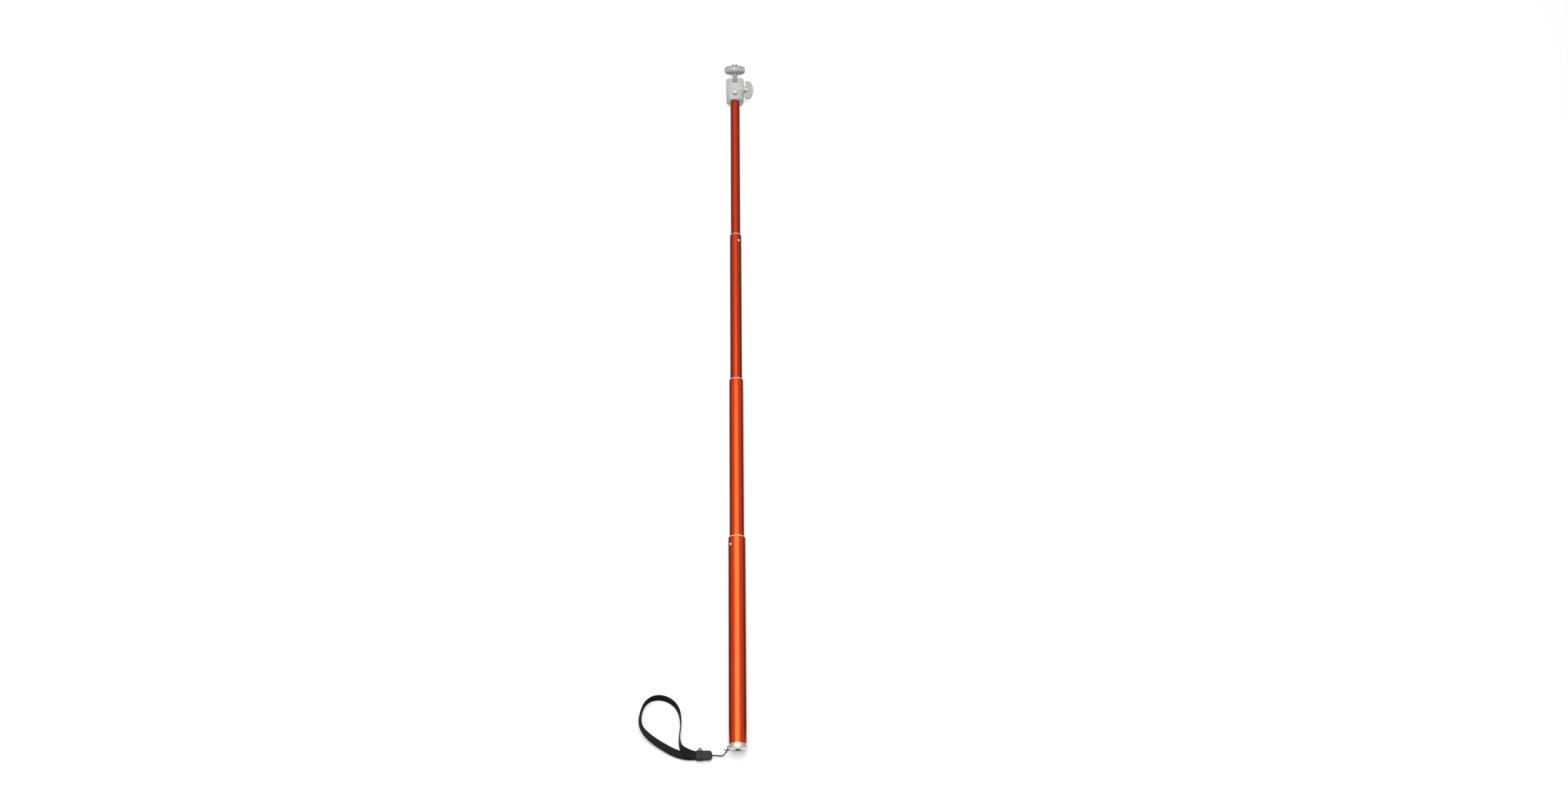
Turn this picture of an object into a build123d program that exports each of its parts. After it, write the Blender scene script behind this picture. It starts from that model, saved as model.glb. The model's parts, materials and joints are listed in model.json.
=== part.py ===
from build123d import *
import os
from math import cos, radians, sin, tan

# A four-section telescopic pole with a small ball head for a compact camera,
# lying on a table, fully pulled out. Millimetres.
# +Y runs along the pole from the base socket to the camera platform, +Z is up
# and is the head's front, +X is the side of the clamp wing. The origin is the
# mouth of the threaded base socket, on the pole's axis.

os.makedirs("parts", exist_ok=True)

# ---- driving dimensions ----
table_z = -11.2
run_gap = 0.05  # radial clearance of a running fit
press_gap = 0.02  # what is left between two pressed pieces
loose_gap = 0.1

handle_start = 6.4
handle_end = 260.0
pull_out = 214.0  # how much of each inner tube shows when pulled out
tube_radius = [10.25, 8.7, 7.35, 6.1]  # handle first, then tubes 2, 3 and 4
tube_bore = [9.45, 7.95, 6.65, 5.4]
mouth = [handle_end + n * pull_out for n in range(4)]

bushing_depth = 11.8
bushing_flange = 0.9
flange_step = 0.45
boss_radius = 1.6
boss_from_mouth = 10.0
boss_step = 0.03  # the boss stands this far inside the tube's outside
boss_turn = [-48, 88, 38]  # degrees from the front, towards +X

tube_overlap = 30.2
lip_height = 0.8
lip_step = 0.38
bush_length = 16.0
bead_start = 17.0
bead_length = 1.0
slit_width = 1.2

flange_radius = 11.0
flange_thickness = 3.6
neck_radius = 10.0
spigot_length = 7.0
socket_radius = 3.25
insert_radius = 4.5
insert_length = 11.0
bumper_thickness = 2.0
cord_hole_x = -9.4
cord_hole_radius = 1.3
cord_pocket_radius = 2.5

head_gap = 0.1  # between the head and the last mouth when all is pushed in
skirt_y = mouth[3] + 1.0
body_height = 33.5
body_width = 24.6
body_depth = 18.6
body_corner = 2.8
body_taper = 0.95
skirt_radius = 12.0
skirt_height = 8.0
square_radius = 16.5
square_from = 12.5
tube_seat = 16.0
body_top = skirt_y + body_height

ball_radius = 6.0
ball_y = body_top - 4.5
stem_radius = 3.0
stem_tilt = 24.0  # rest tilt of the ball stem towards the front
swing_half_angle = 28.5
notch_half_width = 3.35

clamp_y = body_top - 13.1
clamp_radius = 2.5
cone_half_angle = 25.0
cone_tip_x = -2.0
collar_x = 13.4
collar_radius = 4.8
clamp_insert_radius = 3.9
clamp_insert_start = 8.0
washer_thickness = 0.5
washer_radius = 4.3
wing_x = 14.0
wing_reach = 11.5
wing_straight = 6.5
wing_half_length = 14.0
wing_thickness = 3.2
hub_radius = 3.9
hub_length = 6.4
screw_in_wing = 4.8

head_screw_y = skirt_y + 10.5
head_screw_radius = 2.0
head_screw_seat = 8.2
dome_radius = 4.0
dome_height = 2.4

platform_radius = 14.3
platform_start = 16.5  # distances along the stem, from the ball's centre
platform_thickness = 6.6
stem_end = 18.4
pad_thickness = 1.0
stud_radius = 3.175
stud_reach = 5.0

cord_radius = 0.8
webbing_thickness = 1.4
webbing_width = 9.5
clip_y = -3.9
clip_z = -8.1


def save(part, name):
    part.label = name
    export_step(part, f"parts/{name}.step")


def ring_profile(points):
    """The face of a turned piece: points are radius and place along the pole."""
    with BuildSketch(Plane.XY) as face:
        with BuildLine():
            Polyline(*points, close=True)
        make_face()
    return face.sketch


def across(y, turn):
    """A plane on the pole's axis at y, whose normal points turn degrees from the front."""
    out = (sin(radians(turn)), 0, cos(radians(turn)))
    return Plane(origin=(0, y, 0), x_dir=(0, 1, 0), z_dir=out)


def corner_radii(points):
    """The largest smooth arc at each corner of a route: 0.45 of the shorter run."""
    radii = []
    for before, here, after in zip(points, points[1:], points[2:]):
        run_in = Vector(*here) - Vector(*before)
        run_out = Vector(*after) - Vector(*here)
        half_turn = radians(run_in.get_angle(run_out)) / 2
        shorter = min(run_in.length, run_out.length)
        radii.append(0.45 * shorter / tan(half_turn))
    return radii


# ---- base: polished cap with a threaded insert and a rubber bumper ----
with BuildPart() as base_cap:
    add(ring_profile([
        (0, 0),
        (flange_radius, 0),
        (flange_radius, flange_thickness),
        (neck_radius, flange_thickness),
        (neck_radius, handle_start),
        (tube_bore[0] - press_gap, handle_start),
        (tube_bore[0] - press_gap, handle_start + spigot_length),
        (0, handle_start + spigot_length),
    ]))
    revolve(axis=Axis.Y)
    rims = base_cap.edges().filter_by(GeomType.CIRCLE)
    fillet(rims.group_by(Axis.Y)[0], radius=1.0)
    back_rim = base_cap.edges().filter_by(GeomType.CIRCLE).filter_by(
        lambda e: abs(e.radius - flange_radius) < 0.01 and e.center().Y > 2
    )
    fillet(back_rim, radius=0.6)
    with BuildSketch(Plane.XZ):
        Circle(insert_radius + press_gap)
    extrude(amount=-(handle_start + spigot_length), mode=Mode.SUBTRACT)
    with BuildSketch(Plane.XZ):
        with Locations((cord_hole_x, 0)):
            Circle(cord_hole_radius)
    extrude(amount=-flange_thickness, mode=Mode.SUBTRACT)
    with BuildSketch(Plane.XZ.offset(-flange_thickness)):
        with Locations((cord_hole_x - 1.0, 0)):
            Circle(cord_pocket_radius)
    extrude(amount=-(handle_start - flange_thickness), mode=Mode.SUBTRACT)
save(base_cap.part, "base_cap")

with BuildPart() as base_insert:
    add(ring_profile([
        (socket_radius, 0),
        (insert_radius, 0),
        (insert_radius, insert_length),
        (socket_radius, insert_length),
    ]))
    revolve(axis=Axis.Y)
save(base_insert.part, "base_insert")

bumper_start = handle_start + spigot_length
with BuildPart() as base_bumper:
    with BuildSketch(Plane.XZ.offset(-bumper_start)):
        Circle(tube_bore[0] - 0.25)
        Circle(insert_radius, mode=Mode.SUBTRACT)
    extrude(amount=-bumper_thickness)
save(base_bumper.part, "base_bumper")

# ---- tubes: thin-walled, each with a boss hole below its mouth ----
tube_names = ["handle_tube", "tube_2", "tube_3", "tube_4"]
for n, name in enumerate(tube_names):
    inside = tube_bore[n]
    outside = tube_radius[n]
    start = handle_start if n == 0 else mouth[n - 1] - tube_overlap
    end = mouth[n] if n < 3 else skirt_y + tube_seat
    outline = [(inside, start), (outside, start), (outside, end), (inside, end)]
    if n > 0:
        # a rolled lip and a bead hold the friction bush between them
        lip = outside + lip_step
        bead = start + bead_start
        outline = [
            (inside, start),
            (lip, start),
            (lip, start + lip_height),
            (outside, start + lip_height),
            (outside, bead),
            (lip, bead),
            (lip, bead + bead_length),
            (outside, bead + bead_length),
            (outside, end),
            (inside, end),
        ]
    with BuildPart() as tube:
        add(ring_profile(outline))
        revolve(axis=Axis.Y)
        end_rims = tube.edges().filter_by(GeomType.CIRCLE).group_by(Axis.Y)[-1]
        fillet(end_rims.sort_by(SortBy.RADIUS)[-1], radius=0.5)
        if n < 3:
            with BuildSketch(across(end - boss_from_mouth, boss_turn[n])):
                Circle(boss_radius + run_gap)
            extrude(amount=outside + 1, mode=Mode.SUBTRACT)
        else:
            with BuildSketch(across(head_screw_y, 0)):
                Circle(head_screw_radius + loose_gap)
            extrude(amount=outside + 1, mode=Mode.SUBTRACT)
    save(tube.part, name)

# ---- mouth bushings: flanged sleeves that snap into the boss holes ----
for n, name in enumerate(["handle_bushing", "tube_2_bushing", "tube_3_bushing"]):
    slide_radius = tube_radius[n + 1] + run_gap
    sleeve = tube_bore[n] - press_gap
    rim = tube_radius[n] - flange_step
    with BuildPart() as bushing:
        add(ring_profile([
            (slide_radius, mouth[n] - bushing_depth),
            (sleeve, mouth[n] - bushing_depth),
            (sleeve, mouth[n]),
            (rim, mouth[n]),
            (rim, mouth[n] + bushing_flange),
            (slide_radius, mouth[n] + bushing_flange),
        ]))
        revolve(axis=Axis.Y)
        top_rims = bushing.edges().filter_by(GeomType.CIRCLE).group_by(Axis.Y)[-1]
        fillet(top_rims.sort_by(SortBy.RADIUS)[-1], radius=0.4)
        boss_plane = across(mouth[n] - boss_from_mouth, boss_turn[n])
        with BuildSketch(boss_plane.offset((slide_radius + sleeve) / 2)):
            Circle(boss_radius)
        extrude(amount=tube_radius[n])
        # turned flush, so that the tube still slides through the next mouth
        with BuildSketch(Plane.XZ.offset(boss_from_mouth + 2 * boss_radius - mouth[n])):
            Circle(3 * tube_radius[n])
            Circle(tube_radius[n] - boss_step, mode=Mode.SUBTRACT)
        extrude(amount=-4 * boss_radius, mode=Mode.SUBTRACT)
    save(bushing.part, name)

# ---- friction bushes: split sleeves between the lip and the bead ----
for n in range(1, 4):
    bush_start = mouth[n - 1] - tube_overlap + lip_height + loose_gap
    grip = tube_radius[n] + run_gap
    rub = tube_bore[n - 1] - run_gap
    with BuildPart() as friction_bush:
        with BuildSketch(Plane.XZ.offset(-bush_start)):
            Circle(rub)
            Circle(grip, mode=Mode.SUBTRACT)
            with Locations((0, -rub)):
                Rectangle(slit_width, rub, mode=Mode.SUBTRACT)
        extrude(amount=-bush_length)
    save(friction_bush.part, f"friction_bush_{n + 1}")

# ---- head body: clear moulding with a skirt, a ball seat and a front notch ----
body_plane = Plane(origin=(0, body_top, 0), x_dir=(1, 0, 0), z_dir=(0, -1, 0))
bore_radius = ball_radius + 0.15
seat_radius = ball_radius + run_gap
open_radius_low = stem_radius / cos(radians(swing_half_angle)) + 0.3
open_slope = tan(radians(swing_half_angle))
rise_to_top = body_top - ball_y
# the block is turned round at its lower end, so that it follows the tubes
with BuildPart() as turned_blank:
    add(ring_profile([
        (0, skirt_y),
        (skirt_radius, skirt_y),
        (skirt_radius, skirt_y + skirt_height),
        (square_radius, skirt_y + square_from),
        (square_radius, body_top + 1),
        (0, body_top + 1),
    ]))
    revolve(axis=Axis.Y)
    fillet(turned_blank.faces().sort_by(Axis.Y)[0].edges(), radius=1.6)
with BuildPart() as head_body:
    with BuildSketch(body_plane):
        RectangleRounded(body_width, body_depth, body_corner)
    extrude(amount=body_height, taper=body_taper)
    top_edges = head_body.faces().sort_by(Axis.Y)[-1].edges()
    fillet(top_edges, radius=0.8)
    low_edges = head_body.faces().sort_by(Axis.Y)[0].edges()
    fillet(low_edges, radius=1.4)
    add(turned_blank.part, mode=Mode.INTERSECT)
    with BuildSketch(Plane(origin=(0, clamp_y, 0), x_dir=(0, 1, 0), z_dir=(1, 0, 0))):
        Circle(collar_radius)
    extrude(amount=collar_x)
    add(ring_profile([
        (0, skirt_y),
        (bore_radius, skirt_y),
        (bore_radius, ball_y),
        (0, ball_y),
    ]))
    revolve(axis=Axis.Y, mode=Mode.SUBTRACT)
    with Locations((0, ball_y, 0)):
        Sphere(seat_radius, mode=Mode.SUBTRACT)
    add(ring_profile([
        (0, ball_y + 0.5),
        (open_radius_low + 0.5 * open_slope, ball_y + 0.5),
        (open_radius_low + (rise_to_top + 1) * open_slope, body_top + 1),
        (0, body_top + 1),
    ]))
    revolve(axis=Axis.Y, mode=Mode.SUBTRACT)
    with BuildSketch(Plane.XY):
        with Locations((0, ball_y)):
            Circle(notch_half_width)
        with Locations((0, ball_y + body_height / 2)):
            Rectangle(2 * notch_half_width, body_height)
    extrude(amount=body_depth, mode=Mode.SUBTRACT)
    clamp_side = Plane(origin=(0, clamp_y, 0), x_dir=(0, 1, 0), z_dir=(1, 0, 0))
    with BuildSketch(clamp_side):
        Circle(clamp_radius + 0.2)
    extrude(amount=collar_x, mode=Mode.SUBTRACT)
    with BuildSketch(clamp_side.offset(clamp_insert_start)):
        Circle(clamp_insert_radius + press_gap)
    extrude(amount=collar_x - clamp_insert_start, mode=Mode.SUBTRACT)
    with BuildSketch(across(head_screw_y, 0)):
        Circle(head_screw_radius + loose_gap)
    extrude(amount=body_depth, mode=Mode.SUBTRACT)
    with BuildSketch(across(head_screw_y, 0).offset(head_screw_seat)):
        Circle(dome_radius + 0.3)
    extrude(amount=body_depth, mode=Mode.SUBTRACT)
save(head_body.part, "head_body")

# ---- what holds the head on tube 4 ----
with BuildPart() as head_spigot:
    with BuildSketch(Plane.XZ.offset(-(skirt_y + 2.0))):
        Circle(tube_bore[3] - press_gap)
    extrude(amount=-(tube_seat - 2.5))
    with BuildSketch(across(head_screw_y, 0)):
        Circle(head_screw_radius + press_gap)
    extrude(amount=tube_bore[3] + 1, mode=Mode.SUBTRACT)
save(head_spigot.part, "head_spigot")

with BuildPart() as head_screw:
    with BuildSketch(across(head_screw_y, 0).offset(1.0)):
        Circle(head_screw_radius)
    extrude(amount=head_screw_seat - 1.0)
    with BuildSketch(across(head_screw_y, 0).offset(head_screw_seat)):
        Circle(dome_radius)
    extrude(amount=dome_height)
    fillet(head_screw.faces().sort_by(Axis.Z)[-1].edges(), radius=1.9)
    with BuildSketch(across(head_screw_y, 0).offset(head_screw_seat + dome_height - 1.3)):
        RegularPolygon(radius=1.4, side_count=6)
    extrude(amount=2.0, mode=Mode.SUBTRACT)
save(head_screw.part, "head_screw")

# ---- clamp: brass insert, washer, cone-pointed screw and clear wing ----
with BuildPart() as clamp_insert:
    with BuildSketch(clamp_side.offset(clamp_insert_start)):
        Circle(clamp_insert_radius)
        Circle(clamp_radius + run_gap, mode=Mode.SUBTRACT)
    extrude(amount=collar_x - clamp_insert_start)
save(clamp_insert.part, "clamp_insert")

washer_start = collar_x + 0.05
with BuildPart() as clamp_washer:
    with BuildSketch(clamp_side.offset(washer_start)):
        Circle(washer_radius)
        Circle(clamp_radius + run_gap, mode=Mode.SUBTRACT)
    extrude(amount=washer_thickness)
save(clamp_washer.part, "clamp_washer")

cone_length = clamp_radius / tan(radians(cone_half_angle))
screw_end_x = wing_x + screw_in_wing
with BuildPart() as clamp_screw:
    with BuildSketch(Plane.XY):
        with BuildLine():
            Polyline(
                (cone_tip_x, clamp_y),
                (cone_tip_x + cone_length, clamp_y + clamp_radius),
                (screw_end_x, clamp_y + clamp_radius),
                (screw_end_x, clamp_y),
                close=True,
            )
        make_face()
    revolve(axis=Axis((0, clamp_y, 0), (1, 0, 0)))
save(clamp_screw.part, "clamp_screw")

with BuildPart() as clamp_wing:
    with BuildSketch(Plane.XY.offset(-wing_thickness / 2)):
        with BuildLine():
            corner = (wing_x + wing_straight, clamp_y + wing_half_length)
            low_corner = (wing_x + wing_straight, clamp_y - wing_half_length)
            Polyline(
                corner,
                (wing_x, clamp_y + wing_half_length),
                (wing_x, clamp_y - wing_half_length),
                low_corner,
            )
            ThreePointArc(low_corner, (wing_x + wing_reach, clamp_y), corner)
        make_face()
    extrude(amount=wing_thickness)
    upright = clamp_wing.edges().filter_by(Axis.Z).group_by(Axis.X)
    fillet(upright[0], radius=1.0)
    with BuildSketch(clamp_side.offset(wing_x)):
        Circle(hub_radius)
    extrude(amount=hub_length)
    broad = clamp_wing.faces().sort_by(Axis.X)[-1].edges()
    fillet(broad, radius=0.9)
    with BuildSketch(clamp_side.offset(wing_x)):
        Circle(clamp_radius + press_gap)
    extrude(amount=screw_in_wing + 0.1, mode=Mode.SUBTRACT)
save(clamp_wing.part, "clamp_wing")

# ---- ball cup: the screw's cone wedges it up against the ball ----
cup_start = clamp_y + 0.5
cup_height = 5.2
groove_end_x = 8.0
groove_radius = (groove_end_x - cone_tip_x) * tan(radians(cone_half_angle)) + loose_gap
with BuildPart() as ball_cup:
    with BuildSketch(Plane.XZ.offset(-cup_start)):
        Circle(bore_radius - run_gap)
    extrude(amount=-cup_height)
    with Locations((0, ball_y, 0)):
        Sphere(seat_radius, mode=Mode.SUBTRACT)
    with BuildSketch(Plane.XY):
        with BuildLine():
            Polyline(
                (cone_tip_x - 0.3, clamp_y),
                (cone_tip_x, clamp_y + loose_gap),
                (groove_end_x, clamp_y + groove_radius),
                (groove_end_x, clamp_y),
                close=True,
            )
        make_face()
    revolve(axis=Axis((0, clamp_y, 0), (1, 0, 0)), mode=Mode.SUBTRACT)
save(ball_cup.part, "ball_cup")

# ---- ball, stem, platform, pad and camera stud, tilted to the front ----
stem_dir = (0, cos(radians(stem_tilt)), sin(radians(stem_tilt)))
stem_plane = Plane(origin=(0, ball_y, 0), x_dir=(1, 0, 0), z_dir=stem_dir)
platform_top = platform_start + platform_thickness

with BuildPart() as ball:
    with Locations((0, ball_y, 0)):
        Sphere(ball_radius)
save(ball.part, "ball")

with BuildPart() as ball_stem:
    with BuildSketch(stem_plane.offset(ball_radius - 1.5)):
        Circle(stem_radius)
    extrude(amount=stem_end - ball_radius + 1.5)
    with Locations((0, ball_y, 0)):
        Sphere(ball_radius + run_gap, mode=Mode.SUBTRACT)
save(ball_stem.part, "ball_stem")

stud_head_radius = 4.6
stud_head_start = 18.8
stud_head_end = 20.8
stud_neck_radius = 3.0
with BuildPart() as platform_disc:
    with BuildSketch(stem_plane.offset(platform_start)):
        Circle(platform_radius)
    extrude(amount=platform_thickness)
    rims = platform_disc.edges().filter_by(GeomType.CIRCLE).sort_by(Axis.Y)
    fillet(rims[0], radius=2.4)
    fillet(platform_disc.edges().filter_by(GeomType.CIRCLE).sort_by(Axis.Y)[-1], radius=0.7)
    with BuildSketch(stem_plane.offset(platform_start)):
        Circle(stem_radius + run_gap)
    extrude(amount=stud_head_start - platform_start, mode=Mode.SUBTRACT)
    with BuildSketch(stem_plane.offset(stud_head_start)):
        Circle(stud_head_radius + press_gap)
    extrude(amount=stud_head_end - stud_head_start, mode=Mode.SUBTRACT)
    with BuildSketch(stem_plane.offset(stud_head_end)):
        Circle(stud_neck_radius + press_gap)
    extrude(amount=platform_top - stud_head_end, mode=Mode.SUBTRACT)
save(platform_disc.part, "platform_disc")

with BuildPart() as platform_pad:
    with BuildSketch(stem_plane.offset(platform_top)):
        Circle(platform_radius - 0.9)
        Circle(stud_radius + 1.2, mode=Mode.SUBTRACT)
    extrude(amount=pad_thickness)
save(platform_pad.part, "platform_pad")

stud_tip = platform_top + pad_thickness + stud_reach
with BuildPart() as camera_stud:
    with BuildSketch(stem_plane.offset(stud_head_start)):
        Circle(stud_head_radius)
    extrude(amount=stud_head_end - stud_head_start)
    with BuildSketch(stem_plane.offset(stud_head_end)):
        Circle(stud_neck_radius)
    extrude(amount=stud_tip - stud_reach - stud_head_end)
    with BuildSketch(stem_plane.offset(stud_tip - stud_reach)):
        Circle(stud_radius)
    extrude(amount=stud_reach)
    chamfer(camera_stud.edges().sort_by(Axis.Y)[-1], length=0.6)
save(camera_stud.part, "camera_stud")

# ---- wrist strap: cord hitch through the cap, cord, clip, sleeve and webbing ----
hitch_width = 2.4
hitch_length = 5.3
hitch_middle = (cord_hole_x - hitch_width / 2, 1.9)
hitch_radius = 0.5
knot_place = (-12.6, -0.5, 0.3)
knot_radius = 1.6
with BuildSketch(Plane.XY) as hitch_loop:
    with Locations(hitch_middle):
        RectangleRounded(hitch_width, hitch_length, 1.0)
hitch_wire = hitch_loop.sketch.face().outer_wire()
with BuildPart() as strap_hitch:
    with BuildSketch(Plane(origin=hitch_wire @ 0, z_dir=hitch_wire % 0)):
        Circle(hitch_radius)
    sweep(path=hitch_wire)
    with Locations(knot_place):
        Sphere(knot_radius)
save(strap_hitch.part, "strap_hitch")

cord_points = [
    (-13.35, -1.4, -1.05),
    (-15.2, -3.6, -5.4),
    (-18.6, -4.5, -10.2),
    (-24.2, -3.8, -9.1),
    (-31.0, -3.9, -8.15),
    (-38.6, -3.9, -8.1),
]
cord_radii = corner_radii(cord_points)
with BuildPart() as strap_cord:
    with BuildLine() as cord_line:
        FilletPolyline(*cord_points, radius=cord_radii)
    start_dir = cord_line.line % 0
    with BuildSketch(Plane(origin=cord_points[0], z_dir=start_dir)):
        Circle(cord_radius)
    sweep(path=cord_line.line)
save(strap_cord.part, "strap_cord")

clip_nose_x = -29.8
clip_join_x = -40.4
clip_end_x = -47.8
clip_width = 11.0
clip_half_height = 2.7
with BuildPart() as strap_clip:
    with BuildSketch(Plane.XY.offset(clip_z)):
        with Locations(((clip_nose_x + clip_join_x) / 2, clip_y)):
            Rectangle(clip_nose_x - clip_join_x, clip_width)
    extrude(amount=clip_half_height, both=True)
    nose = strap_clip.edges().filter_by(Axis.Z).group_by(Axis.X)[-1]
    fillet(nose, radius=3.6)
    flat_rims = strap_clip.faces().filter_by(Axis.Z).edges()
    fillet(flat_rims - strap_clip.faces().sort_by(Axis.X)[0].edges(), radius=1.3)
    with BuildSketch(Plane(origin=(0, clip_y, clip_z), z_dir=(1, 0, 0)).offset(clip_join_x)):
        Circle(cord_radius + 0.5)
    extrude(amount=clip_nose_x - clip_join_x, mode=Mode.SUBTRACT)
save(strap_clip.part, "strap_clip")

sleeve_length = clip_join_x - clip_end_x
sleeve_width = 12.2
sleeve_half_height = 3.1
groove_depth = 0.4
with BuildPart() as strap_sleeve:
    with BuildSketch(Plane.XY.offset(clip_z)):
        with Locations(((clip_join_x + clip_end_x) / 2, clip_y)):
            Rectangle(sleeve_length, sleeve_width)
    extrude(amount=sleeve_half_height, both=True)
    fillet(strap_sleeve.edges().filter_by(Axis.X), radius=1.8)
    slot_plane = Plane(origin=(clip_end_x, clip_y, clip_z), z_dir=(1, 0, 0), x_dir=(0, 1, 0))
    with BuildSketch(slot_plane):
        Rectangle(10.2, 3.2)
    extrude(amount=5.0, mode=Mode.SUBTRACT)
    for groove in range(3):
        groove_x = clip_end_x + 1.3 + 2.0 * groove
        with BuildSketch(slot_plane.offset(groove_x - clip_end_x)):
            RectangleRounded(sleeve_width + 1.2, 2 * sleeve_half_height + 1.2, 1.8)
            waist = (sleeve_width - 2 * groove_depth, 2 * (sleeve_half_height - groove_depth))
            RectangleRounded(*waist, 1.4, mode=Mode.SUBTRACT)
        extrude(amount=0.8, mode=Mode.SUBTRACT)
    with BuildSketch(Plane.XY.offset(clip_z)):
        with Locations((-43.8, clip_y + 7.2)):
            Circle(2.0)
            Circle(1.0, mode=Mode.SUBTRACT)
    extrude(amount=0.8, both=True)
save(strap_sleeve.part, "strap_sleeve")

webbing_gap = 0.4
webbing_points = [
    (clip_end_x - webbing_gap, clip_y - 1.4),
    (-58.5, -4.6),
    (-72.0, -0.7),
    (-88.0, 8.2),
    (-104.0, 19.5),
    (-113.6, 32.0),
    (-113.0, 48.0),
    (-106.5, 61.0),
    (-93.5, 66.0),
    (-79.0, 62.0),
    (-68.5, 51.0),
    (-65.6, 34.0),
    (-67.8, 18.0),
    (-66.5, 5.5),
    (-58.5, -1.2),
    (clip_end_x - webbing_gap, clip_y + 1.4),
]
webbing_route = [(x, y, table_z + webbing_width / 2) for x, y in webbing_points]
webbing_radii = corner_radii(webbing_route)
with BuildPart() as strap_webbing:
    with BuildLine() as webbing_line:
        FilletPolyline(*webbing_route, radius=webbing_radii)
    with BuildSketch(Plane(origin=webbing_route[0], x_dir=(0, 0, 1), z_dir=webbing_line.line % 0)):
        Rectangle(webbing_width, webbing_thickness)
    sweep(path=webbing_line.line)
save(strap_webbing.part, "strap_webbing")

for name, line, radii in (
    ("cord", cord_line, cord_radii),
    ("webbing", webbing_line, webbing_radii),
):
    length = sum(edge.length for edge in line.edges())
    print(name, "length", round(length, 1), "radii", [round(r, 1) for r in radii])
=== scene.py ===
import bpy
import json
from math import cos, pi, radians, sin
from mathutils import Matrix, Vector

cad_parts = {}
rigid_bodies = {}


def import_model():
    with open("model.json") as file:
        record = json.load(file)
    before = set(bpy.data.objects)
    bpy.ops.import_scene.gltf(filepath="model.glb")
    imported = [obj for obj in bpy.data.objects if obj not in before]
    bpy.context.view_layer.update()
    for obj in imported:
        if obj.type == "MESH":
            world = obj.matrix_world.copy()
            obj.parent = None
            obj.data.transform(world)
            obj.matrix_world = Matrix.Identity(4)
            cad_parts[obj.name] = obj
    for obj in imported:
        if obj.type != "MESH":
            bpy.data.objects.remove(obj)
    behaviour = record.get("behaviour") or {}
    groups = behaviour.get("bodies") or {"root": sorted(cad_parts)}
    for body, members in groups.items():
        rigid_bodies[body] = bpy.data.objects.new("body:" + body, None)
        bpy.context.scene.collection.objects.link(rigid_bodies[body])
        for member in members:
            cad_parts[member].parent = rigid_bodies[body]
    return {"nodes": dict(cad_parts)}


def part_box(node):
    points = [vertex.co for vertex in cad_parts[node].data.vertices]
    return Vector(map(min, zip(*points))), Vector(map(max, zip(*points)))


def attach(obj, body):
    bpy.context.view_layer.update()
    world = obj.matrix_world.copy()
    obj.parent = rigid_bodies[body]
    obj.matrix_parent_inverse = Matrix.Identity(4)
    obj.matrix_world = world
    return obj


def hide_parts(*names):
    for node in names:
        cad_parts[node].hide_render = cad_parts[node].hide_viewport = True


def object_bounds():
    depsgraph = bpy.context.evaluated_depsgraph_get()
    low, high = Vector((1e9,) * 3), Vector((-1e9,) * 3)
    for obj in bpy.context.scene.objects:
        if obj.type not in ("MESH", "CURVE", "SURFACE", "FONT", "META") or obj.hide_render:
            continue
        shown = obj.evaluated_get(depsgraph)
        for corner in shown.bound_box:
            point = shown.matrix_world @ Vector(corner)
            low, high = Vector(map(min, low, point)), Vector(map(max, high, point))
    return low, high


for leftover in list(bpy.data.objects):
    bpy.data.objects.remove(leftover)
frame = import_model()
cad_low, cad_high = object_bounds()
bpy.ops.object.select_all(action="DESELECT")

# Camera: stands past the base end of the pole, high over the table, and looks
# down along the pole. It is rolled a little, so the pole leans to the left.
camera_tilt = radians(26)
camera_roll = radians(1.02)
camera_distance = 2.158
aim = Vector((0, 0.4479, 0))
aim_left = 0.0602
look = Vector((0, sin(camera_tilt), -cos(camera_tilt)))
level_up = Vector((0, cos(camera_tilt), sin(camera_tilt)))
level_right = Vector((1, 0, 0))
view_right = level_right * cos(camera_roll) - level_up * sin(camera_roll)
view_up = level_up * cos(camera_roll) + level_right * sin(camera_roll)
camera_data = bpy.data.cameras.new("camera")
camera_data.sensor_width = 36
camera_data.lens = 39.27  # a long normal lens, in mm
camera_data.clip_end = 50
camera = bpy.data.objects.new("camera", camera_data)
bpy.context.scene.collection.objects.link(camera)
camera_place = aim + view_right * aim_left - look * camera_distance
turned = Matrix((view_right, view_up, -look)).transposed().to_4x4()
camera.matrix_world = Matrix.Translation(camera_place) @ turned
bpy.context.scene.camera = camera
bpy.context.scene.view_settings.view_transform = "Standard"

# Table and studio: a white table top that glows a little, in a dim room that is
# lighter beyond the head. For reflections in shiny pieces the table beside the
# pole is darker than it is to the eye, like the black cards of a studio.
table_z = cad_low.z
bpy.ops.mesh.primitive_plane_add(size=30)
table = bpy.context.object
table.name = "table"
table.data.transform(Matrix.Translation((0, 0, table_z)))
white = bpy.data.materials.new("white table")
white.use_nodes = True
nodes, links = white.node_tree.nodes, white.node_tree.links
top = nodes["Principled BSDF"]
top.inputs["Base Color"].default_value = (0.9, 0.9, 0.9, 1)
top.inputs["Roughness"].default_value = 0.95
top.inputs["Specular IOR Level"].default_value = 0.0
top.inputs["Emission Color"].default_value = (1, 1, 1, 1)
top.inputs["Emission Strength"].default_value = 0.3
shade = nodes.new("ShaderNodeBsdfDiffuse")
shade.inputs["Color"].default_value = (0.16, 0.15, 0.15, 1)
place = nodes.new("ShaderNodeTexCoord")
split = nodes.new("ShaderNodeSeparateXYZ")
beside_pole = nodes.new("ShaderNodeMapRange")
beside_pole.inputs["From Min"].default_value = -0.012
beside_pole.inputs["From Max"].default_value = 0.03
path = nodes.new("ShaderNodeLightPath")
seen_in_gloss = nodes.new("ShaderNodeMath")
seen_in_gloss.operation = "MULTIPLY"
mix = nodes.new("ShaderNodeMixShader")
links.new(place.outputs["Object"], split.inputs[0])
links.new(split.outputs["Y"], beside_pole.inputs["Value"])
links.new(beside_pole.outputs[0], seen_in_gloss.inputs[0])
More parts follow.
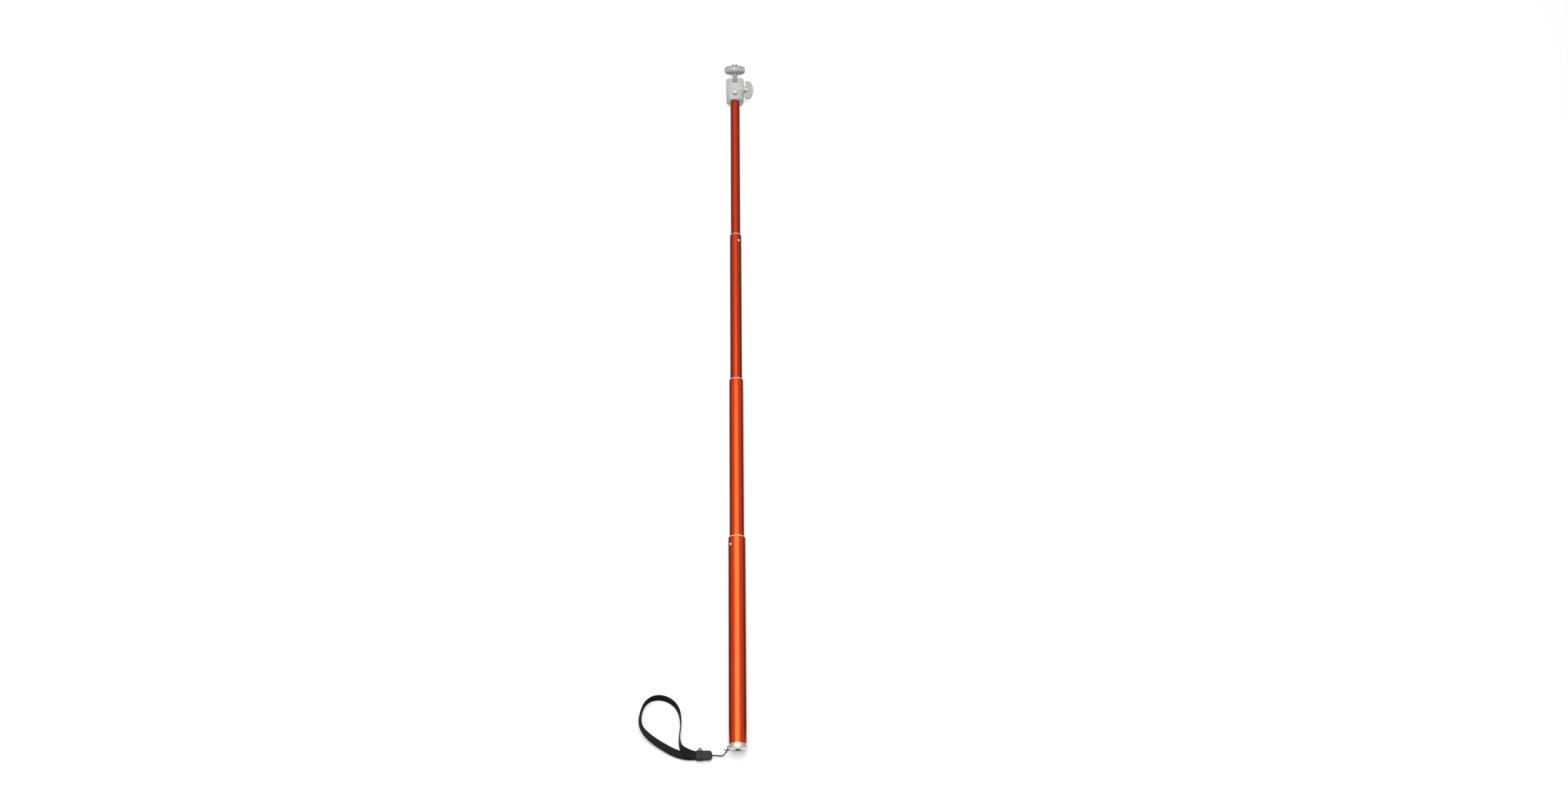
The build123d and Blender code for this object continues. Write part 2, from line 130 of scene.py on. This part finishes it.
links.new(path.outputs["Is Glossy Ray"], seen_in_gloss.inputs[1])
links.new(seen_in_gloss.outputs[0], mix.inputs[0])
links.new(top.outputs[0], mix.inputs[1])
links.new(shade.outputs[0], mix.inputs[2])
links.new(mix.outputs[0], nodes["Material Output"].inputs["Surface"])
table.data.materials.append(white)

world = bpy.data.worlds.new("studio")
bpy.context.scene.world = world
world.use_nodes = True
nodes, links = world.node_tree.nodes, world.node_tree.links
place = nodes.new("ShaderNodeTexCoord")
split = nodes.new("ShaderNodeSeparateXYZ")
room = nodes.new("ShaderNodeMapRange")
room.inputs["From Min"].default_value = -0.7
room.inputs["From Max"].default_value = 0.7
room.inputs["To Min"].default_value = 0.12
room.inputs["To Max"].default_value = 0.8
links.new(place.outputs["Generated"], split.inputs[0])
links.new(split.outputs["Y"], room.inputs["Value"])
links.new(room.outputs[0], nodes["Background"].inputs["Strength"])
nodes["Background"].inputs["Color"].default_value = (1, 1, 1, 1)


def softbox(name, centre, width, length, radiance):
    """A level soft box over the table, facing down."""
    light = bpy.data.lights.new(name, "AREA")
    light.shape = "RECTANGLE"
    light.size, light.size_y = width, length
    light.energy = radiance * pi * width * length
    lamp = bpy.data.objects.new(name, light)
    lamp.location = centre
    bpy.context.scene.collection.objects.link(lamp)


softbox("softbox over the handle", (-0.05, 0.55, 1.4), 1.45, 1.25, 3.0)
softbox("softbox over the head", (-0.05, 1.75, 1.4), 1.45, 1.05, 0.55)
# The chrome pieces of the head are shaded from the box over the handle, so
# that their sides are bright and their middles are dark.
flagged = bpy.data.collections.new("flagged off")
for name in ("ball", "ball_stem", "head_screw"):
    flagged.objects.link(frame["nodes"][name])
for member in flagged.collection_objects:
    member.light_linking.link_state = "EXCLUDE"
bpy.data.objects["softbox over the handle"].light_linking.receiver_collection = flagged


# Tubes: four drawn aluminium tubes that slide in one another. They are dyed
# orange-red by anodising, with fine lines along them from drawing and sliding.
def new_material(name, colour, roughness, metallic=0.0):
    made = bpy.data.materials.new(name)
    made.use_nodes = True
    shader = made.node_tree.nodes["Principled BSDF"]
    shader.inputs["Base Color"].default_value = (*colour, 1)
    shader.inputs["Roughness"].default_value = roughness
    shader.inputs["Metallic"].default_value = metallic
    return made, shader


def new_group(name, inputs, outputs):
    """A shader node group with an input and an output node, and its sockets."""
    group = bpy.data.node_groups.new(name, "ShaderNodeTree")
    for socket, kind, value in inputs:
        made = group.interface.new_socket(socket, in_out="INPUT", socket_type=kind)
        made.default_value = value
    for socket, kind in outputs:
        group.interface.new_socket(socket, in_out="OUTPUT", socket_type=kind)
    return group, group.nodes.new("NodeGroupInput"), group.nodes.new("NodeGroupOutput")


def place_group(material, group, **values):
    node = material.node_tree.nodes.new("ShaderNodeGroup")
    node.node_tree = group
    for socket, value in values.items():
        node.inputs[socket.replace("_", " ")].default_value = value
    return node


def add_bump(material, height, shader, strength, distance):
    bump = material.node_tree.nodes.new("ShaderNodeBump")
    bump.inputs["Strength"].default_value = strength
    bump.inputs["Distance"].default_value = distance
    material.node_tree.links.new(height, bump.inputs["Height"])
    material.node_tree.links.new(bump.outputs[0], shader.inputs["Normal"])


def give(material, *names):
    for name in names:
        for slot in frame["nodes"][name].material_slots:
            slot.material = material


# grain: noise on the piece's own coordinates, stretched along any axis
grain, grain_in, grain_out = new_group(
    "grain",
    [
        ("Stretch", "NodeSocketVector", (1, 1, 1)),
        ("Scale", "NodeSocketFloat", 1000.0),
        ("Detail", "NodeSocketFloat", 4.0),
        ("Low", "NodeSocketFloat", 0.0),
        ("High", "NodeSocketFloat", 1.0),
    ],
    [("Height", "NodeSocketFloat"), ("Value", "NodeSocketFloat")],
)
place = grain.nodes.new("ShaderNodeTexCoord")
stretched = grain.nodes.new("ShaderNodeVectorMath")
stretched.operation = "MULTIPLY"
noise = grain.nodes.new("ShaderNodeTexNoise")
ranged = grain.nodes.new("ShaderNodeMapRange")
ranged.inputs["From Min"].default_value = 0.3
ranged.inputs["From Max"].default_value = 0.7
grain.links.new(place.outputs["Object"], stretched.inputs[0])
grain.links.new(grain_in.outputs["Stretch"], stretched.inputs[1])
grain.links.new(stretched.outputs[0], noise.inputs["Vector"])
grain.links.new(grain_in.outputs["Scale"], noise.inputs["Scale"])
grain.links.new(grain_in.outputs["Detail"], noise.inputs["Detail"])
grain.links.new(noise.outputs[0], ranged.inputs["Value"])
grain.links.new(grain_in.outputs["Low"], ranged.inputs["To Min"])
grain.links.new(grain_in.outputs["High"], ranged.inputs["To Max"])
grain.links.new(noise.outputs[0], grain_out.inputs["Height"])
grain.links.new(ranged.outputs[0], grain_out.inputs["Value"])

# rubbed rim: how much the dye has worn off at a tube's mouth
rubbed, rubbed_in, rubbed_out = new_group(
    "rubbed rim",
    [("Mouth", "NodeSocketFloat", 0.0), ("Width", "NodeSocketFloat", 0.001)],
    [("Mask", "NodeSocketFloat")],
)
place = rubbed.nodes.new("ShaderNodeTexCoord")
split = rubbed.nodes.new("ShaderNodeSeparateXYZ")
away = rubbed.nodes.new("ShaderNodeMath")
away.operation = "SUBTRACT"
share = rubbed.nodes.new("ShaderNodeMath")
share.operation = "DIVIDE"
patch = rubbed.nodes.new("ShaderNodeTexNoise")
patch.inputs["Scale"].default_value = 420
ragged = rubbed.nodes.new("ShaderNodeMath")
ragged.operation = "ADD"
fade = rubbed.nodes.new("ShaderNodeMapRange")
fade.inputs["From Min"].default_value = 0.7
fade.inputs["From Max"].default_value = 1.5
fade.inputs["To Min"].default_value = 1.0
fade.inputs["To Max"].default_value = 0.0
rubbed.links.new(place.outputs["Object"], split.inputs[0])
rubbed.links.new(place.outputs["Object"], patch.inputs["Vector"])
rubbed.links.new(rubbed_in.outputs["Mouth"], away.inputs[0])
rubbed.links.new(split.outputs["Y"], away.inputs[1])
rubbed.links.new(away.outputs[0], share.inputs[0])
rubbed.links.new(rubbed_in.outputs["Width"], share.inputs[1])
rubbed.links.new(share.outputs[0], ragged.inputs[0])
rubbed.links.new(patch.outputs[0], ragged.inputs[1])
rubbed.links.new(ragged.outputs[0], fade.inputs["Value"])
rubbed.links.new(fade.outputs[0], rubbed_out.inputs["Mask"])

bare_aluminium = (0.78, 0.70, 0.66)
# Each tube further from the handle has a darker base colour, most of all tube_3 and tube_4:
# this is painted shade for the dimmer light that falls towards the head end, on top of the
# orange-red dye.
for tube, dye_and_painted_shade, gloss in (
    ("handle_tube", (0.78, 0.066, 0.008), 0.27),
    ("tube_2", (0.74, 0.055, 0.007), 0.28),
    ("tube_3", (0.50, 0.040, 0.006), 0.29),
    ("tube_4", (0.46, 0.032, 0.005), 0.30),
):
    anodised, shader = new_material("anodised " + tube, dye_and_painted_shade, gloss, metallic=1.0)
    shader.inputs["Coat Weight"].default_value = 0.25
    shader.inputs["Coat Roughness"].default_value = 0.22
    links = anodised.node_tree.links
    lines = place_group(anodised, grain, Stretch=(1, 0.006, 1), Scale=5200.0,
                        Low=0.90, High=1.08)
    cloudy = place_group(anodised, grain, Stretch=(1, 0.25, 1), Scale=160.0,
                         Low=gloss - 0.03, High=gloss + 0.05)
    rim = place_group(anodised, rubbed, Mouth=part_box(tube)[1].y, Width=0.00028)
    tint = anodised.node_tree.nodes.new("ShaderNodeMix")
    tint.data_type = "RGBA"
    tint.blend_type = "MULTIPLY"
    tint.inputs["Factor"].default_value = 1.0
    tint.inputs[6].default_value = (*dye_and_painted_shade, 1)
    worn = anodised.node_tree.nodes.new("ShaderNodeMix")
    worn.data_type = "RGBA"
    worn.inputs[7].default_value = (*bare_aluminium, 1)
    links.new(lines.outputs["Value"], tint.inputs[7])
    links.new(tint.outputs[2], worn.inputs[6])
    links.new(rim.outputs["Mask"], worn.inputs["Factor"])
    links.new(worn.outputs[2], shader.inputs["Base Color"])
    links.new(cloudy.outputs["Value"], shader.inputs["Roughness"])
    add_bump(anodised, lines.outputs["Height"], shader, 0.12, 0.00002)
    give(anodised, tube)


# Bushings: pale acetal sleeves. A flange shows at each mouth, and a round boss
# on the sleeve is snapped into a hole in the tube. Split ones grip inside.
acetal, shader = new_material("acetal", (0.80, 0.72, 0.70), 0.38)
shader.inputs["Specular IOR Level"].default_value = 0.55
shader.inputs["Subsurface Weight"].default_value = 0.12
shader.inputs["Subsurface Scale"].default_value = 0.001
moulded = place_group(acetal, grain, Scale=900.0, Low=0.33, High=0.46)
acetal.node_tree.links.new(moulded.outputs["Value"], shader.inputs["Roughness"])
add_bump(acetal, moulded.outputs["Height"], shader, 0.1, 0.00004)
give(acetal, "handle_bushing", "tube_2_bushing", "tube_3_bushing",
     "friction_bush_2", "friction_bush_3", "friction_bush_4", "ball_cup")


# Base cap: turned from aluminium bar and polished, pressed into the handle. Its
# face keeps fine rings from the lathe. A steel insert takes a tripod screw.
rings, rings_in, rings_out = new_group(
    "lathe rings",
    [("Rings per metre", "NodeSocketFloat", 9000.0)],
    [("Height", "NodeSocketFloat"), ("Value", "NodeSocketFloat")],
)
place = rings.nodes.new("ShaderNodeTexCoord")
split = rings.nodes.new("ShaderNodeSeparateXYZ")
flat = rings.nodes.new("ShaderNodeCombineXYZ")
from_axis = rings.nodes.new("ShaderNodeVectorMath")
from_axis.operation = "LENGTH"
along = rings.nodes.new("ShaderNodeMath")
along.operation = "ADD"
cut = rings.nodes.new("ShaderNodeTexNoise")
cut.noise_dimensions = "1D"
cut.inputs["Detail"].default_value = 3
ranged = rings.nodes.new("ShaderNodeMapRange")
ranged.inputs["From Min"].default_value = 0.3
ranged.inputs["From Max"].default_value = 0.7
ranged.inputs["To Min"].default_value = 0.12
ranged.inputs["To Max"].default_value = 0.34
rings.links.new(place.outputs["Object"], split.inputs[0])
rings.links.new(split.outputs["X"], flat.inputs["X"])
rings.links.new(split.outputs["Z"], flat.inputs["Z"])
rings.links.new(flat.outputs[0], from_axis.inputs[0])
rings.links.new(from_axis.outputs["Value"], along.inputs[0])
rings.links.new(split.outputs["Y"], along.inputs[1])
rings.links.new(along.outputs[0], cut.inputs["W"])
rings.links.new(rings_in.outputs[0], cut.inputs["Scale"])
rings.links.new(cut.outputs[0], rings_out.inputs["Height"])
rings.links.new(cut.outputs[0], ranged.inputs["Value"])
rings.links.new(ranged.outputs[0], rings_out.inputs["Value"])


def turned_metal(name, colour, strength, *names):
    metal, shader = new_material(name, colour, 0.2, metallic=1.0)
    lathe = place_group(metal, rings, Rings_per_metre=7000.0)
    metal.node_tree.links.new(lathe.outputs["Value"], shader.inputs["Roughness"])
    add_bump(metal, lathe.outputs["Height"], shader, strength, 0.00006)
    give(metal, *names)


turned_metal("polished aluminium", (0.86, 0.86, 0.85), 0.35, "base_cap")
turned_metal("turned steel", (0.50, 0.50, 0.50), 0.3,
             "base_insert", "clamp_washer", "clamp_screw")
turned_metal("plain aluminium", (0.70, 0.70, 0.70), 0.3, "head_spigot")
turned_metal("turned brass", (0.72, 0.52, 0.22), 0.3, "clamp_insert")


# Head: clear polycarbonate mouldings with a frosted skin. The block holds the
# ball, the wing turns the clamp screw, and the disc carries the camera.
def frosted(name, clearness, colour, haze, *names):
    plastic, shader = new_material(name, colour, haze)
    shader.inputs["Transmission Weight"].default_value = clearness
    shader.inputs["IOR"].default_value = 1.49
    skin = place_group(plastic, grain, Scale=700.0, Detail=1.0,
                       Low=haze - 0.05, High=haze + 0.05)
    plastic.node_tree.links.new(skin.outputs["Value"], shader.inputs["Roughness"])
    add_bump(plastic, skin.outputs["Height"], shader, 0.05, 0.00004)
    give(plastic, *names)


frosted("frosted block", 0.62, (0.97, 0.97, 0.94), 0.30, "head_body")
frosted("frosted disc", 0.55, (0.94, 0.94, 0.91), 0.32, "platform_disc")
frosted("frosted wing", 0.70, (0.99, 0.99, 0.98), 0.16, "clamp_wing")


# Ball, stem and screw: steel with a bright chrome plate. Fingers leave faint
# smears on them.
chrome, shader = new_material("chrome", (0.88, 0.88, 0.89), 0.06, metallic=1.0)
smears = place_group(chrome, grain, Scale=600.0, Low=0.03, High=0.13)
chrome.node_tree.links.new(smears.outputs["Value"], shader.inputs["Roughness"])
give(chrome, "ball", "ball_stem", "head_screw")


# Pad and bumper: black rubber, matt and slightly pebbled. The pad is glued on
# the disc, so that a camera doesn't turn on it.
rubber, shader = new_material("black rubber", (0.022, 0.022, 0.022), 0.75)
pebble = place_group(rubber, grain, Scale=2600.0, Low=0.6, High=0.9)
rubber.node_tree.links.new(pebble.outputs["Value"], shader.inputs["Roughness"])
add_bump(rubber, pebble.outputs["Height"], shader, 0.5, 0.0002)
give(rubber, "platform_pad", "base_bumper")
turned_metal("stud steel", (0.62, 0.61, 0.59), 0.3, "camera_stud")


# Clip and sleeve of the wrist strap: black nylon mouldings with a fine spark
# grain. The sleeve has three ribs and a small eye on its side.
nylon, shader = new_material("black nylon", (0.010, 0.009, 0.010), 0.5)
shader.inputs["Specular IOR Level"].default_value = 0.35
spark = place_group(nylon, grain, Scale=3600.0, Low=0.42, High=0.62)
nylon.node_tree.links.new(spark.outputs["Value"], shader.inputs["Roughness"])
add_bump(nylon, spark.outputs["Height"], shader, 0.5, 0.00012)
give(nylon, "strap_clip", "strap_sleeve")


# Cord of the wrist strap: three twisted strands of black nylon, from the knot
# at the base cap down to the table and into the clip. It is free along there.
def follow(name, points):
    """Points along a smooth line, from its control points in millimetres."""
    line = bpy.data.curves.new(name, "CURVE")
    line.dimensions = "3D"
    line.resolution_u = 20
    spline = line.splines.new("NURBS")
    spline.points.add(len(points) - 1)
    for control, point in zip(spline.points, points):
        control.co = (*(value / 1000 for value in point), 1)
    spline.order_u = 3
    spline.use_endpoint_u = True
    holder = bpy.data.objects.new(name, line)
    sampled = bpy.data.meshes.new_from_object(holder)
    found = [vertex.co.copy() for vertex in sampled.vertices]
    bpy.data.objects.remove(holder)
    bpy.data.meshes.remove(sampled)
    return found


def directions(points, closed=False):
    """The direction of a line at each of its points."""
    last = len(points) - 1
    found = []
    for n in range(len(points)):
        before = points[(n - 1) % len(points)] if closed else points[max(n - 1, 0)]
        after = points[(n + 1) % len(points)] if closed else points[min(n + 1, last)]
        found.append((after - before).normalized())
    return found


def tube_mesh(strands, radius, sides=10, closed=False):
    """Vertices and faces of round strands, each along a list of points."""
    vertices, faces = [], []
    for points in strands:
        first = len(vertices)
        ways = directions(points, closed)
        across = ways[0].orthogonal().normalized()
        for point, way in zip(points, ways):
            across = (across - way * across.dot(way)).normalized()
            other = way.cross(across)
            for side in range(sides):
                angle = 2 * pi * side / sides
                vertices.append(point + (across * cos(angle) + other * sin(angle)) * radius)
        rows = len(points)
        for row in range(rows if closed else rows - 1):
            for side in range(sides):
                here, after = first + row * sides, first + (row + 1) % rows * sides
                step = (side + 1) % sides
                faces.append((here + side, here + step, after + step, after + side))
        if not closed:
            faces.append([first + side for side in reversed(range(sides))])
            faces.append([first + (rows - 1) * sides + side for side in range(sides)])
    return vertices, faces


def new_piece(name, vertices, faces, material, body, slot):
    mesh = bpy.data.meshes.new(name)
    mesh.from_pydata(vertices, [], faces)
    mesh.materials.append(material)
    mesh.shade_smooth()
    piece = bpy.data.objects.new(name, mesh)
    bpy.context.scene.collection.objects.link(piece)
    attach(piece, body)
    return piece


def twisted(points, offset, pitch, strand, strands):
    """One strand's points, wound round a line."""
    ways = directions(points)
    across = ways[0].orthogonal().normalized()
    wound, run = [], 0.0
    for n, (point, way) in enumerate(zip(points, ways)):
        if n:
            run += (point - points[n - 1]).length
        across = (across - way * across.dot(way)).normalized()
        angle = 2 * pi * (run / pitch + strand / strands)
        wound.append(point + (across * cos(angle) + way.cross(across) * sin(angle)) * offset)
    return wound


cord_black, shader = new_material("black cord", (0.006, 0.006, 0.006), 0.62)
shader.inputs["Specular IOR Level"].default_value = 0.3
fibre = place_group(cord_black, grain, Scale=4200.0, Low=0.5, High=0.8)
cord_black.node_tree.links.new(fibre.outputs["Value"], shader.inputs["Roughness"])
add_bump(cord_black, fibre.outputs["Height"], shader, 0.6, 0.00015)

cord_route = [
    (-13.35, -1.4, -1.05),
    (-15.2, -3.6, -5.4),
    (-18.6, -4.5, -10.2),
    (-24.2, -3.8, -9.1),
    (-31.0, -3.9, -8.15),
    (-38.6, -3.9, -8.1),
]
cord_line = follow("cord line", cord_route)
strand_count = 3
strand_radius = 0.00046
strand_offset = 0.00033
strand_pitch = 0.0042
strands = [twisted(cord_line, strand_offset, strand_pitch, n, strand_count)
           for n in range(strand_count)]
strap_cord = new_piece("strap_cord_strands", *tube_mesh(strands, strand_radius, sides=8),
                       cord_black, "handle", "black_cord")
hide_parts("strap_cord")


# Hitch: the cord's other end. It goes through a hole at the cap's rim and back
# round the rim, and a small overhand knot with two short tails holds it.
knot_centre = Vector((-0.0126, -0.0005, 0.0003))
knot_scale = 0.00040
knot_line = [
    knot_centre + knot_scale * Vector((
        sin(t) + 2 * sin(2 * t),
        -sin(3 * t) * 1.3,
        cos(t) - 2 * cos(2 * t),
    ))
    for t in (2 * pi * n / 72 for n in range(72))
]
loop_half = Vector((0.0012, 0.00265, 0))
loop_centre = Vector((-0.0106, 0.0019, 0))
loop_line = []
squareness = 0.62
for n in range(48):
    turn = 2 * pi * n / 48
    loop_line.append(loop_centre + Vector((
        loop_half.x * abs(cos(turn)) ** squareness * (1 if cos(turn) > 0 else -1),
        loop_half.y * abs(sin(turn)) ** squareness * (1 if sin(turn) > 0 else -1),
        0.0,
    )))
knot_vertices, knot_faces = tube_mesh([knot_line, loop_line], strand_radius, closed=True)
tails = [
    follow("tail", [(-12.9, -0.6, 0.6), (-14.2, -0.2, 1.4), (-15.4, 0.6, 1.9)]),
    follow("tail", [(-12.6, -1.2, 0.3), (-13.0, -2.6, 1.0), (-12.4, -3.6, 1.6)]),
]
tail_vertices, tail_faces = tube_mesh(tails, 0.00045)
shift = len(knot_vertices)
hitch = new_piece(
    "strap_hitch_knot",
    knot_vertices + tail_vertices,
    knot_faces + [[v + shift for v in face] for face in tail_faces],
    cord_black, "handle", "black_cord",
)
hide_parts("strap_hitch")


# Webbing of the wrist strap: one length of flat woven black nylon, with both
# ends held in the sleeve. It lies flat there and turns on its edge round the loop.
webbing_width, webbing_thickness = 9.5, 1.3
sleeve_end = -44.5
# x, y and height in millimetres, and how far the band leans out, in degrees
webbing_route = [
    (sleeve_end, -3.9, -8.82, 90),
    (-49.5, -3.9, -8.9, 90),
    (-58.5, -4.2, -9.7, 88),
    (-72.0, -0.7, -9.7, 80),
    (-88.0, 8.2, -8.9, 70),
    (-104.0, 19.5, -7.9, 55),
    (-113.6, 32.0, -6.5, 20),
    (-113.0, 48.0, -6.45, 0),
    (-106.5, 61.0, -6.4, 8),
    (-93.5, 66.0, -6.6, 24),
    (-79.0, 62.0, -6.6, 24),
    (-68.5, 51.0, -6.45, 16),
    (-65.6, 34.0, -6.45, 5),
    (-67.8, 18.0, -6.4, 4),
    (-66.5, 5.5, -5.9, 20),
    (-58.5, -1.2, -5.2, 70),
    (-49.5, -3.7, -7.3, 90),
    (sleeve_end, -3.9, -7.38, 90),
]
centres = [Vector(point[:3]) for point in webbing_route]
edges = []
upwards = Vector((0, 0, 1))
for (*centre, lean), way in zip(webbing_route, directions(centres)):
    outwards = Vector((-way.y, way.x, 0)).normalized()
    leaning = outwards * sin(radians(lean)) + upwards * cos(radians(lean))
    edges.append(Vector(centre) + leaning)
webbing_line = follow("webbing line", centres)
edge_line = follow("webbing edge", edges)
half, thin = webbing_width / 2000, webbing_thickness / 2000
# the band's section, with rounded selvedges: shares of half its width and of
# half its thickness
lower_side = [(-1, -0.55), (-0.955, -1), (-0.8, -0.92), (0, -1),
              (0.8, -0.92), (0.955, -1), (1, -0.55)]
upper_side = [(-wide, -thick) for wide, thick in lower_side]
outline = [(wide * half, thick * thin) for wide, thick in lower_side + upper_side]
vertices, faces, ribbon = [], [], []
run = 0.0
for n, way in enumerate(directions(webbing_line)):
    if n:
        run += (webbing_line[n] - webbing_line[n - 1]).length
    across = edge_line[n] - webbing_line[n]
    across = (across - way * across.dot(way)).normalized()
    out = way.cross(across)
    for side, through in outline:
        vertices.append(webbing_line[n] + across * side + out * through)
        ribbon.append((run, side))
sides = len(outline)
for row in range(len(webbing_line) - 1):
    for side in range(sides):
        step = (side + 1) % sides
        faces.append((row * sides + side, row * sides + step,
                      (row + 1) * sides + step, (row + 1) * sides + side))
faces.append(list(reversed(range(sides))))
faces.append([len(vertices) - sides + side for side in range(sides)])

webbing_black, shader = new_material("black webbing", (0.007, 0.007, 0.007), 0.7)
shader.inputs["Sheen Weight"].default_value = 0.05
shader.inputs["Sheen Roughness"].default_value = 0.45
shader.inputs["Specular IOR Level"].default_value = 0.3
nodes, links = webbing_black.node_tree.nodes, webbing_black.node_tree.links
ribbon_map = nodes.new("ShaderNodeUVMap")
ribbon_map.uv_map = "ribbon"
waves = []
for direction, scale in (("X", 560.0), ("Y", 640.0)):
    wave = nodes.new("ShaderNodeTexWave")
    wave.wave_type = "BANDS"
    wave.bands_direction = direction
    wave.inputs["Scale"].default_value = scale
    wave.inputs["Distortion"].default_value = 0.6
    wave.inputs["Detail"].default_value = 2
    links.new(ribbon_map.outputs[0], wave.inputs["Vector"])
    waves.append(wave)
weave = nodes.new("ShaderNodeMath")
weave.operation = "MULTIPLY"
links.new(waves[0].outputs["Fac"], weave.inputs[0])
links.new(waves[1].outputs["Fac"], weave.inputs[1])
thread = nodes.new("ShaderNodeMapRange")
thread.inputs["To Min"].default_value = 0.45
thread.inputs["To Max"].default_value = 1.5
shaded = nodes.new("ShaderNodeMix")
shaded.data_type = "RGBA"
shaded.blend_type = "MULTIPLY"
shaded.inputs["Factor"].default_value = 1.0
shaded.inputs[6].default_value = (0.008, 0.008, 0.0085, 1)
links.new(weave.outputs[0], thread.inputs["Value"])
links.new(thread.outputs[0], shaded.inputs[7])
links.new(shaded.outputs[2], shader.inputs["Base Color"])
add_bump(webbing_black, weave.outputs[0], shader, 0.7, 0.00025)
webbing = new_piece("strap_webbing_band", vertices, faces, webbing_black,
                    "handle", "black_webbing")
webbing_map = webbing.data.uv_layers.new(name="ribbon")
for loop in webbing.data.loops:
    webbing_map.data[loop.index].uv = ribbon[loop.vertex_index]
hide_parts("strap_webbing")
